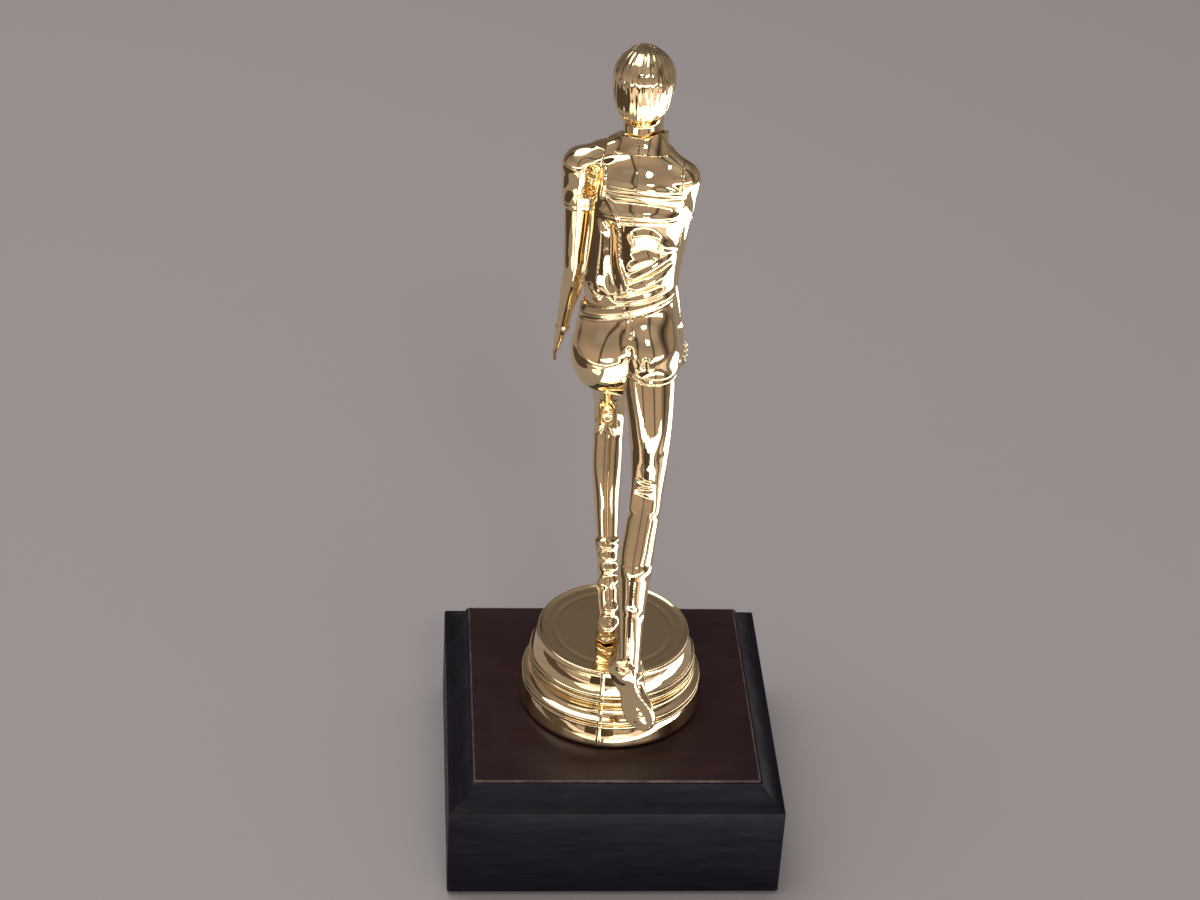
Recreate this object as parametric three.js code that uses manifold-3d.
// Bowling trophy: a gold-coloured bowler on a round plinth, bolted to a square black wooden base.
// Units are millimetres, +Z is up, and the origin is the middle of the base where it meets the table.
// The bowler faces about +Y and is turned a little on its fixing bolt.
import * as THREE from 'three';
import { mergeVertices } from 'three/addons/utils/BufferGeometryUtils.js';
import Module from 'manifold-3d';

// ---- Driving dimensions ----
const GAP = 0.3; // clearance between neighbouring pieces

const BASE_SIDE = 90; // the usual 3.5 inch square block
const FELT_THICKNESS = 1;
const FELT_MARGIN = 2.5; // the felt stops short of the block's edge
const SIDE_TOP = 28.5; // where the upright side ends and the moulded edge begins
const BASE_TOP = 34.5;
const TOP_INSET = 6.6; // width of the moulded edge
const LEDGE_DROP = 2.2; // height of the steep step just under the top face
const LEDGE_WIDTH = 1.6; // how far that step leans in
const FOOT_CHAMFER = 0.5;
const VENEER_THICKNESS = 0.6;
const RECESS_RADIUS = 10; // the bolt head's recess in the underside
const RECESS_TOP = 14;
const BOLT_HOLE_RADIUS = 3.5;

const PLATE_WIDTH = 56;
const PLATE_HEIGHT = 16;
const PLATE_THICKNESS = 0.8;
const PLATE_RECESS = 0.8; // the plate is let into the block's face
const PIN_RADIUS = 0.8;
const PIN_HEAD_HEIGHT = 0.6;
const PIN_LENGTH = 6;
const PIN_SPACING = 50;

const PLINTH_HEIGHT = 22;
const PLINTH_RADIUS = 25; // the usual 50 mm figure plinth
const PLINTH_TOP_RADIUS = 20.4;
const PLINTH_WALL = 2;
const PLINTH_RIM = 0.7; // the rounding of the top's edge
const BOSS_RADIUS = 8;
const RIB_THICKNESS = 1.4;
const RIB_COUNT = 8;
const RIB_CLEARANCE = 3; // the ribs stop this far above the plinth's foot
// Rounds up the plinth's side: [inset from the foot's radius, height above the foot, size, first and
// last angle in degrees]. The third is hollow.
const PLINTH_ROUNDS = [
  [1.3, 6.1, 0.9, -50, 75],
  [1.4, 7.9, 0.9, -50, 85],
  [1, 10.7, 1.9, 225, 160],
  [2.9, 13.2, 0.8, -50, 80],
  [3.3, 14.9, 0.8, -50, 70],
];
const FIGURE_TURN = -11; // degrees about the bolt, away from square
const SHELL_WALL = 1.8;

const BOLT_RADIUS = 3; // M6
const BOLT_LENGTH = 35;
const BOLT_HEAD_HEIGHT = 4;
const HEX_ACROSS_FLATS = 10;
const NUT_HEIGHT = 5;
const WASHER_THICKNESS = 1.6;
const FLAT_WASHER_RADIUS = 9;
const SPRING_WASHER_RADIUS = 5.9;
const SPRING_WASHER_SLIT = 0.8;
const BOLT_PROUD = 1; // the bolt's tip stands this far above the nut

// ---- Places that follow from them ----
const BASE_HALF = BASE_SIDE / 2;
const TOP_HALF = BASE_HALF - TOP_INSET;
const VENEER_BOTTOM = BASE_TOP - VENEER_THICKNESS;
const PLATE_FACE = BASE_HALF + PLATE_THICKNESS - PLATE_RECESS;
const PLATE_MIDDLE = (SIDE_TOP + FELT_THICKNESS) / 2;
const PLINTH_BOTTOM = BASE_TOP + GAP;
const PLINTH_TOP = BASE_TOP + PLINTH_HEIGHT;
const FLAT_WASHER_Z = RECESS_TOP - GAP - WASHER_THICKNESS;
const SPRING_WASHER_Z = FLAT_WASHER_Z - GAP - WASHER_THICKNESS;
const BOLT_HEAD_TOP = SPRING_WASHER_Z - GAP;
const BOLT_TIP = BOLT_HEAD_TOP + BOLT_LENGTH;
const NUT_Z = BOLT_TIP - NUT_HEIGHT - BOLT_PROUD;

// ---- The bowler's skeleton, in its own frame: X to its right, Y forward ----
// Each joint is [x, y, height above the plinth, radius].
const FRONT_LEG = [
  [-1, 17.5, 1.8, 2.3],
  [-1, 10, 2.4, 3.2],
  [-1.2, -4.6, 2.6, 3],
  [-1.7, -2, 9.9, 2.6],
  [-3.4, 4.5, 23, 3],
  [-6, 16, 43, 4.5],
  [-6.9, 23.5, 56.5, 4.6],
  [-6.8, 3, 88, 7.5],
];
const REAR_LEG = [
  [12.8, -41.2, -0.2, 2.3],
  [11.4, -40.8, 4.5, 3.1],
  [7.6, -39.5, 15.2, 2.9],
  [8.2, -36.5, 19.5, 3],
  [6.8, -25, 42.5, 5],
  [8.2, -17.3, 58.5, 4.4],
  [7.2, -11, 73.5, 5.9],
  [4.4, -2, 90, 7.5],
];
const LEFT_ARM = [
  [-16.2, 8, 135.2, 4.6],
  [-16.9, 9, 104, 2.8],
  [-20.1, 17.5, 83.5, 1.9],
  [-22, 22, 75.5, 1.7],
  [-23.2, 25, 69, 1],
];
const RIGHT_ARM = [
  [10.4, 6.5, 134.2, 4.6],
  [6.9, 14, 102.5, 2.9],
  [9.3, 20.5, 86, 2.1],
  [11.2, 24, 77.5, 2.3],
  [12.9, 29.5, 71.5, 1.7],
  [11.6, 34.5, 68, 1.2],
];
// Sections of the trunk: [height above the plinth, centre x, centre y, half width, half depth].
const TRUNK = [
  [78, -1.5, -0.5, 6, 4.5],
  [83, -1.5, -0.8, 12, 8.6],
  [90, -1.5, -0.5, 13.6, 9.8],
  [97, -1.5, 0.6, 13, 9],
  [104, -1.6, 2, 11.4, 7.8],
  [111, -1.7, 3.8, 12, 8],
  [120, -2, 5.8, 13, 8.8],
  [129, -2.4, 7.2, 13.6, 8.4],
  [135, -2.5, 7.8, 12.6, 6.8],
  [140, -1.8, 8.8, 6.4, 5.2],
  [142, -1.4, 9.4, 4.4, 4.2],
];
// Rounded masses: [x, y, height above the plinth, half width, half depth, half height].
const SHOULDERS = [-2.7, 7.6, 134.4, 16, 5.4, 4.6];
const BUTTOCKS = [
  [-6.6, -4, 89, 8.1, 8, 9],
  [3.8, -4, 89, 8.1, 8, 9],
];
const HEAD = [-2.3, 14.3, 157.2, 7.8, 9.2, 10.6];
const FACE = [-2.3, 18, 153, 5.6, 6.6, 8.6];
const HEAD_LEAN = -10; // degrees: the head is bowed a little
const NECK = [
  [-1.8, 12.5, 148, 4.1],
  [-1.2, 9.4, 141.5, 5.3],
];
const SHOULDER_PEG_RADIUS = 1.6;
const SHOULDER_PEG_LENGTH = 9; // from the middle of the shoulder joint
const SHOULDER_PEG_DROP = 1;
const BALL_CENTRE = [3, 28.5, 72.4];
const BALL_RADIUS = 9;
const BALL_HOLE_RADIUS = 0.85;
const BALL_HOLE_DEPTH = 3.5;
// The ball's three holes: the way from its centre to each.
const BALL_HOLES = [
  [-0.35, -0.35, 0.87],
  [-0.55, -0.2, 0.8],
  [-0.2, 0.15, 0.97],
];
// The parting face passes from the legs' middles to the trunk's between these heights.
const PARTING_LEGS_END = 76;
const PARTING_TRUNK_START = 84;
const PARTING_BLEND = 3; // half the depth over which it passes from the rear leg to the front one
const PARTING_STEP = 5; // the size of its facets

// How finely round things are faceted.
const ROUND_SEGMENTS = 36;
const HOLE_SEGMENTS = 32;
const BOLT_SEGMENTS = 24;
const PIN_SEGMENTS = 12;
const PIN_HEAD_SEGMENTS = 16;
const PIN_HEAD_STEPS = 4;
const LIMB_SEGMENTS = 10;
const LIMB_DOME_STEPS = 2;
const MASS_SEGMENTS = 18;
const HOLLOW_SEGMENTS = 9;
const COVE_STEPS = 6;
const PLINTH_ROUND_STEPS = 2;
const OVERCUT = 1; // how far a cutting tool passes the surface that it cuts

const wasm = await Module();
wasm.setup();

// ---- Booleans ----
function solid(geometry) {
  const bare = geometry.clone();
  bare.deleteAttribute('normal');
  bare.deleteAttribute('uv');
  const merged = mergeVertices(bare, 1e-4);
  const corners = merged.index.array;
  const triangles = [];
  for (let i = 0; i < corners.length; i += 3) {
    const [a, b, c] = [corners[i], corners[i + 1], corners[i + 2]];
    if (a !== b && b !== c && c !== a) triangles.push(a, b, c);
  }
  const mesh = new wasm.Mesh({
    numProp: 3,
    vertProperties: new Float32Array(merged.attributes.position.array),
    triVerts: new Uint32Array(triangles),
  });
  return new wasm.Manifold(mesh);
}

function geometryOf(manifold) {
  const mesh = manifold.getMesh();
  const geometry = new THREE.BufferGeometry();
  geometry.setAttribute('position', new THREE.BufferAttribute(mesh.vertProperties, 3));
  geometry.setIndex(new THREE.BufferAttribute(mesh.triVerts, 1));
  geometry.computeVertexNormals();
  return geometry;
}

function join(solids) {
  return solids.reduce((whole, next) => whole.add(next));
}

function largestPiece(manifold) {
  const pieces = manifold.decompose();
  return pieces.reduce((best, next) => (next.volume() > best.volume() ? next : best));
}

// ---- Simple solids ----
// A turned solid about Z from [radius, z] points, starting and ending on the axis.
function turned(points, segments = ROUND_SEGMENTS) {
  const profile = points.map(([radius, z]) => new THREE.Vector2(radius, z));
  return solid(new THREE.LatheGeometry(profile, segments).rotateX(Math.PI / 2));
}

const disc = (radius, bottom, top, segments) =>
  turned([[0, bottom], [radius, bottom], [radius, top], [0, top]], segments);

const ring = (radius, hole, bottom, top) =>
  disc(radius, bottom, top).subtract(disc(hole, bottom - OVERCUT, top + OVERCUT));

// A square block with mitred corners, from [half side, z] points.
function squareTurned(points) {
  const diagonal = points.map(([halfSide, z]) => [halfSide * Math.SQRT2, z]);
  return turned(diagonal, 4).rotate([0, 0, 45]);
}

// A hexagonal prism, flats across X.
function hexagon(acrossFlats, bottom, top) {
  return disc(acrossFlats / Math.sqrt(3), bottom, top, 6);
}

function box(width, depth, height, x, y, z) {
  return solid(new THREE.BoxGeometry(width, depth, height).translate(x, y, z));
}

function ellipsoid([x, y, z, halfWidth, halfDepth, halfHeight], grow = 0, lean = 0) {
  const around = grow < 0 ? HOLLOW_SEGMENTS : MASS_SEGMENTS;
  const geometry = new THREE.SphereGeometry(1, around, (around * 2) / 3);
  geometry.rotateX(Math.PI / 2);
  geometry.scale(halfWidth + grow, halfDepth + grow, halfHeight + grow);
  geometry.rotateX(THREE.MathUtils.degToRad(lean));
  return solid(geometry.translate(x, y, z + PLINTH_TOP));
}

// One bone: a round bar with domed ends that tapers from one joint to the next.
function bone([x0, y0, z0, r0], [x1, y1, z1, r1], grow = 0) {
  const from = new THREE.Vector3(x0, y0, z0 + PLINTH_TOP);
  const to = new THREE.Vector3(x1, y1, z1 + PLINTH_TOP);
  const length = from.distanceTo(to);
  const start = r0 + grow;
  const end = r1 + grow;
  // Both domes meet the cone where it is tangent to them.
  const tilt = Math.asin((start - end) / length);
  const profile = [];
  for (let i = 0; i <= LIMB_DOME_STEPS; i++) {
    const angle = -Math.PI / 2 + (i / LIMB_DOME_STEPS) * (Math.PI / 2 + tilt);
    profile.push(new THREE.Vector2(start * Math.cos(angle), start * Math.sin(angle)));
  }
  for (let i = 0; i <= LIMB_DOME_STEPS; i++) {
    const angle = tilt + (i / LIMB_DOME_STEPS) * (Math.PI / 2 - tilt);
    profile.push(new THREE.Vector2(end * Math.cos(angle), length + end * Math.sin(angle)));
  }
  profile[0].x = 0;
  profile.at(-1).x = 0;
  const geometry = new THREE.LatheGeometry(profile, LIMB_SEGMENTS);
  const up = new THREE.Vector3(0, 1, 0);
  const turn = new THREE.Quaternion().setFromUnitVectors(up, to.clone().sub(from).normalize());
  geometry.applyQuaternion(turn);
  return solid(geometry.translate(from.x, from.y, from.z));
}

const limb = (joints, grow = 0) =>
  join(joints.slice(1).map((joint, i) => bone(joints[i], joint, grow)));

// ---- The wooden base ----
// The moulded edge, from the top of the side inwards: a cove, then a steep step up to the veneer.
function edgeProfile() {
  const coveWidth = TOP_INSET - LEDGE_WIDTH;
  const coveHeight = BASE_TOP - LEDGE_DROP - SIDE_TOP;
  const points = [[BASE_HALF, SIDE_TOP]];
  for (let i = 1; i <= COVE_STEPS; i++) {
    const angle = (i / COVE_STEPS) * (Math.PI / 2);
    const inward = coveWidth * Math.sin(angle);
    const rise = coveHeight * (1 - Math.cos(angle));
    points.push([BASE_HALF - inward, SIDE_TOP + rise]);
  }
  points.push([TOP_HALF, VENEER_BOTTOM]);
  return points;
}

function baseBlock() {
  const bottom = FELT_THICKNESS;
  const foot = [[0, bottom], [BASE_HALF - FOOT_CHAMFER, bottom], [BASE_HALF, bottom + FOOT_CHAMFER]];
  const block = squareTurned([...foot, ...edgeProfile(), [0, VENEER_BOTTOM]]);
  const hole = disc(BOLT_HOLE_RADIUS, 0, BASE_TOP + OVERCUT, HOLE_SEGMENTS);
  const recess = disc(RECESS_RADIUS, 0, RECESS_TOP, HOLE_SEGMENTS);
  const plateSeat = box(
    PLATE_WIDTH + 2 * GAP, 2 * PLATE_RECESS, PLATE_HEIGHT + 2 * GAP, 0, BASE_HALF, PLATE_MIDDLE,
  );
  const pinHoles = [-1, 1].map((side) => pinBar(PIN_RADIUS + GAP, PIN_LENGTH + GAP, side));
  return block.subtract(join([hole, recess, plateSeat, ...pinHoles]));
}

function topVeneer() {
  const outline = [[0, VENEER_BOTTOM], [TOP_HALF, VENEER_BOTTOM], [TOP_HALF, BASE_TOP], [0, BASE_TOP]];
  const hole = disc(BOLT_HOLE_RADIUS, 0, BASE_TOP + OVERCUT, HOLE_SEGMENTS);
  return squareTurned(outline).subtract(hole);
}

function baseFelt() {
  const half = BASE_HALF - FELT_MARGIN;
  const sheet = squareTurned([[0, 0], [half, 0], [half, FELT_THICKNESS], [0, FELT_THICKNESS]]);
  const hole = disc(RECESS_RADIUS, -OVERCUT, FELT_THICKNESS + OVERCUT, HOLE_SEGMENTS);
  return sheet.subtract(hole);
}

// ---- The plate and its pins, on the block's +Y face ----
function namePlate() {
  const thickness = PLATE_THICKNESS - GAP;
  const middle = PLATE_FACE - thickness / 2;
  const plate = box(PLATE_WIDTH, thickness, PLATE_HEIGHT, 0, middle, PLATE_MIDDLE);
  const holes = [-1, 1].map((side) => pinBar(PIN_RADIUS + GAP / 2, PIN_LENGTH, side));
  return plate.subtract(join(holes));
}

// The round bar of a pin, driven through the plate into the block.
function pinBar(radius, length, side) {
  const bar = new THREE.CylinderGeometry(radius, radius, length, PIN_SEGMENTS);
  const middle = PLATE_FACE + PIN_HEAD_HEIGHT / 2 - length / 2 + GAP;
  return solid(bar.translate((side * PIN_SPACING) / 2, middle, PLATE_MIDDLE));
}

function platePin(side) {
  const head = dome(2 * PIN_RADIUS, PIN_HEAD_HEIGHT);
  const place = [(side * PIN_SPACING) / 2, PLATE_FACE + GAP, PLATE_MIDDLE];
  return pinBar(PIN_RADIUS, PIN_LENGTH, side).add(head.translate(place));
}

// A shallow dome with its flat side facing -Y.
function dome(radius, height) {
  const profile = [new THREE.Vector2(0, 0)];
  for (let i = 0; i < PIN_HEAD_STEPS; i++) {
    const angle = (i / PIN_HEAD_STEPS) * (Math.PI / 2);
    profile.push(new THREE.Vector2(radius * Math.cos(angle), height * Math.sin(angle)));
  }
  profile.push(new THREE.Vector2(0, height));
  return solid(new THREE.LatheGeometry(profile, PIN_HEAD_SEGMENTS));
}

// ---- The plinth ----
// Its side, from the foot up: a flared skirt, two beads with a hollow between them, a tapering top.
function plinthSide() {
  const points = [[PLINTH_RADIUS - 0.4, PLINTH_BOTTOM], [PLINTH_RADIUS, PLINTH_BOTTOM + 0.8]];
  for (const [inset, height, size, from, to] of PLINTH_ROUNDS) {
    points.push(...arc(PLINTH_RADIUS - inset, PLINTH_BOTTOM + height, size, from, to));
  }
  points.push(...arc(PLINTH_TOP_RADIUS - PLINTH_RIM, PLINTH_TOP - PLINTH_RIM, PLINTH_RIM, 10, 90));
  return points;
}

// Points along an arc of the given size about [radius, z], between two angles in degrees.
function arc(radius, z, size, from, to) {
  const points = [];
  for (let i = 0; i <= PLINTH_ROUND_STEPS; i++) {
    const share = i / PLINTH_ROUND_STEPS;
    const angle = THREE.MathUtils.degToRad(from + share * (to - from));
    points.push([radius + size * Math.cos(angle), z + size * Math.sin(angle)]);
  }
  return points;
}

// The plinth: hollow below, with a boss for the nut and ribs out from it.
function plinth() {
  const outside = turned([[0, PLINTH_BOTTOM], ...plinthSide(), [0, PLINTH_TOP]]);
  const ceiling = PLINTH_TOP - PLINTH_WALL;
  const inner = turned([
    [0, PLINTH_BOTTOM - OVERCUT],
    [PLINTH_RADIUS - PLINTH_WALL - OVERCUT, PLINTH_BOTTOM - OVERCUT],
    [PLINTH_TOP_RADIUS - PLINTH_WALL - OVERCUT, ceiling],
    [0, ceiling],
  ], HOLE_SEGMENTS);
  const boss = disc(BOSS_RADIUS, PLINTH_BOTTOM, ceiling + OVERCUT, HOLE_SEGMENTS);
  const ribMiddle = PLINTH_BOTTOM + RIB_CLEARANCE + PLINTH_HEIGHT / 2;
  const ribs = [];
  for (let i = 0; i < RIB_COUNT / 2; i++) {
    const angle = ((i + 0.5) * 360) / RIB_COUNT;
    const bar = box(2 * PLINTH_RADIUS, RIB_THICKNESS, PLINTH_HEIGHT, 0, 0, ribMiddle);
    ribs.push(bar.rotate([0, 0, angle]));
  }
  const stiffening = join([boss, ...ribs]).intersect(outside);
  const pocket = hexagon(HEX_ACROSS_FLATS + 2 * GAP, NUT_Z - GAP, NUT_Z + NUT_HEIGHT + GAP);
  const boltHole = disc(BOLT_RADIUS + GAP, 0, BOLT_TIP + OVERCUT, BOLT_SEGMENTS);
  return outside.subtract(inner).add(stiffening).subtract(pocket.add(boltHole));
}

// ---- The bowler ----
// The trunk is a turned solid whose rings are flattened and moved to each section's centre.
function torso(grow) {
  const [lowest, highest] = [TRUNK[0], TRUNK.at(-1)];
  const profile = TRUNK.map(([height, , , halfWidth]) => new THREE.Vector2(halfWidth + grow, height));
  profile.unshift(new THREE.Vector2(0, lowest[0]));
  profile.push(new THREE.Vector2(0, highest[0]));
  const geometry = new THREE.LatheGeometry(profile, MASS_SEGMENTS).rotateX(Math.PI / 2);
  const position = geometry.attributes.position;
  for (let i = 0; i < position.count; i++) {
    const height = position.getZ(i);
    const section = TRUNK.find((row) => Math.abs(row[0] - height) < 1e-3);
    const [, centreX, centreY, halfWidth, halfDepth] = section;
    const depth = (halfDepth + grow) / (halfWidth + grow);
    position.setX(i, centreX + position.getX(i));
    position.setY(i, centreY + position.getY(i) * depth);
  }
  return solid(geometry.translate(0, 0, PLINTH_TOP));
}

// The trunk with the shoulders, buttocks, neck and head.
function trunk(grow = 0) {
  const masses = [SHOULDERS, ...BUTTOCKS].map((mass) => ellipsoid(mass, grow));
  return join([torso(grow), ...masses, limb(NECK, grow), head(grow)]);
}

function head(grow = 0) {
  return ellipsoid(HEAD, grow, HEAD_LEAN).add(ellipsoid(FACE, grow, HEAD_LEAN));
}

// Where a chain of joints passes a given height: its [x, y] there.
function chainAt(joints, height) {
  const upward = joints.slice(1).filter((joint, i, rest) => i === 0 || joint[2] > rest[0][2]);
  const above = upward.findIndex((joint) => joint[2] >= height);
  if (above === -1) return upward.at(-1);
  if (above === 0) return upward[0];
  const [low, high] = [upward[above - 1], upward[above]];
  const share = (height - low[2]) / (high[2] - low[2]);
  return [0, 1].map((axis) => low[axis] + share * (high[axis] - low[axis]));
}

// The two halves meet on a wavy surface x = f(y, z). It follows the middle of each leg, then the
// middle of the trunk, and it is flat across the plinth.
function partingX(y, z) {
  const height = z - PLINTH_TOP;
  const rear = chainAt(REAR_LEG, height);
  const front = height > 0 ? chainAt(FRONT_LEG, height) : [0, 0];
  // At the plinth only the front leg's side counts, so the change lies behind the plinth.
  const between = height > 0 ? (rear[1] + front[1]) / 2 : -PLINTH_RADIUS - PARTING_STEP;
  const forward = THREE.MathUtils.smoothstep(y, between - PARTING_BLEND, between + PARTING_BLEND);
  const legs = rear[0] + forward * (front[0] - rear[0]);
  const trunkShare = THREE.MathUtils.smoothstep(height, PARTING_LEGS_END, PARTING_TRUNK_START);
  return legs + trunkShare * (TRUNK[0][1] - legs);
}

// Everything to the right of the parting surface, which is moved by an offset in X.
function rightOfParting(offset) {
  const depth = 100;
  const height = 200;
  const cuts = [1, depth / PARTING_STEP, height / PARTING_STEP];
  const block = new THREE.BoxGeometry(BASE_SIDE, depth, height, ...cuts);
  block.translate(BASE_HALF, -PARTING_STEP, PLINTH_BOTTOM - PARTING_STEP + height / 2);
  const position = block.attributes.position;
  for (let i = 0; i < position.count; i++) {
    if (position.getX(i) > 1) continue;
    position.setX(i, offset + partingX(position.getY(i), position.getZ(i)));
  }
  return solid(block);
}

// A peg on the arm's root that is glued into a socket in the shoulder.
function shoulderPeg(arm, grow) {
  const [x, y, z] = arm[0];
  const tip = x - Math.sign(x) * SHOULDER_PEG_LENGTH;
  const from = [x, y, z, SHOULDER_PEG_RADIUS];
  const to = [tip, y, z - SHOULDER_PEG_DROP, SHOULDER_PEG_RADIUS];
  return bone(from, to, grow);
}

function figureBody() {
  const aboveCeiling = PLINTH_TOP + HEAD[2]; // higher than the leg
  const footing = disc(PLINTH_RADIUS, PLINTH_TOP - PLINTH_WALL, aboveCeiling);
  const frontLeg = limb(FRONT_LEG).intersect(footing);
  const sockets = shoulderPeg(LEFT_ARM, GAP).add(shoulderPeg(RIGHT_ARM, GAP));
  const hollow = trunk(-SHELL_WALL);
  return join([plinth(), frontLeg, limb(REAR_LEG), trunk()]).subtract(hollow.add(sockets));
}

// The two halves of the hollow figure, which are glued together at the parting surface.
function figureShells() {
  const body = figureBody();
  const left = body.subtract(rightOfParting(-GAP / 2));
  const right = body.intersect(rightOfParting(GAP / 2));
  return [left, right].map(largestPiece);
}

// An arm with its peg, cut back from the trunk and the ball.
function arm(joints) {
  const outside = limb(joints).subtract(trunk(GAP));
  return largestPiece(largestPiece(outside).add(shoulderPeg(joints, 0)).subtract(ball(GAP)));
}

function ball(grow = 0) {
  const [x, y, z] = BALL_CENTRE;
  return ellipsoid([x, y, z, BALL_RADIUS, BALL_RADIUS, BALL_RADIUS], grow);
}

// The ball with its three holes.
function bowlingBall() {
  const holes = BALL_HOLES.map((way) => {
    const end = (distance) => [0, 1, 2].map((axis) => BALL_CENTRE[axis] + distance * way[axis]);
    const deep = [...end(BALL_RADIUS - BALL_HOLE_DEPTH), BALL_HOLE_RADIUS];
    const mouth = [...end(BALL_RADIUS + OVERCUT), BALL_HOLE_RADIUS];
    return bone(deep, mouth);
  });
  return ball().subtract(join(holes));
}

// ---- The fixing ----
function fixingBolt() {
  const headBottom = BOLT_HEAD_TOP - BOLT_HEAD_HEIGHT;
  const shank = disc(BOLT_RADIUS, headBottom + OVERCUT, BOLT_TIP, BOLT_SEGMENTS);
  return hexagon(HEX_ACROSS_FLATS, headBottom, BOLT_HEAD_TOP).add(shank);
}

function captiveNut() {
  const hole = disc(BOLT_RADIUS + GAP / 2, 0, PLINTH_TOP, BOLT_SEGMENTS);
  return hexagon(HEX_ACROSS_FLATS, NUT_Z, NUT_Z + NUT_HEIGHT).subtract(hole);
}

function washer(radius, bottom) {
  return ring(radius, BOLT_RADIUS + GAP, bottom, bottom + WASHER_THICKNESS);
}

// A spring washer is split, with its two ends a little apart.
function springWasher() {
  const length = 2 * SPRING_WASHER_RADIUS;
  const height = 3 * WASHER_THICKNESS;
  const slit = box(length, SPRING_WASHER_SLIT, height, SPRING_WASHER_RADIUS, 0, SPRING_WASHER_Z);
  return washer(SPRING_WASHER_RADIUS, SPRING_WASHER_Z).subtract(slit);
}

// ---- Assembly ----
function material(color, roughness, metalness) {
  return () => new THREE.MeshStandardMaterial({ color, roughness, metalness });
}

const gold = material('#d9bd6a', 0.12, 1);
const steel = material('#b9bcc0', 0.3, 1);
const brass = material('#c9a24a', 0.25, 1);
const blackPaint = material('#15131a', 0.5, 0);
const rosewood = material('#3a1f1c', 0.45, 0);
const felt = material('#14201a', 0.95, 0);

function part(name, manifold, look) {
  const mesh = new THREE.Mesh(geometryOf(manifold), look());
  mesh.name = name;
  return mesh;
}

const [leftShell, rightShell] = figureShells();

const figure = new THREE.Group();
figure.rotation.z = THREE.MathUtils.degToRad(FIGURE_TURN);
figure.add(
  part('figure_left_shell', leftShell, gold),
  part('figure_right_shell', rightShell, gold),
  part('left_arm', arm(LEFT_ARM), gold),
  part('right_arm', arm(RIGHT_ARM), gold),
  part('bowling_ball', bowlingBall(), gold),
  part('captive_nut', captiveNut(), steel),
  part('fixing_bolt', fixingBolt(), steel),
  part('spring_washer', springWasher(), steel),
);

const trophy = new THREE.Group();
trophy.add(
  part('base_block', baseBlock(), blackPaint),
  part('base_top_veneer', topVeneer(), rosewood),
  part('base_felt', baseFelt(), felt),
  part('name_plate', namePlate(), brass),
  part('plate_pin_left', platePin(-1), brass),
  part('plate_pin_right', platePin(1), brass),
  part('flat_washer', washer(FLAT_WASHER_RADIUS, FLAT_WASHER_Z), steel),
  figure,
);

export default trophy;
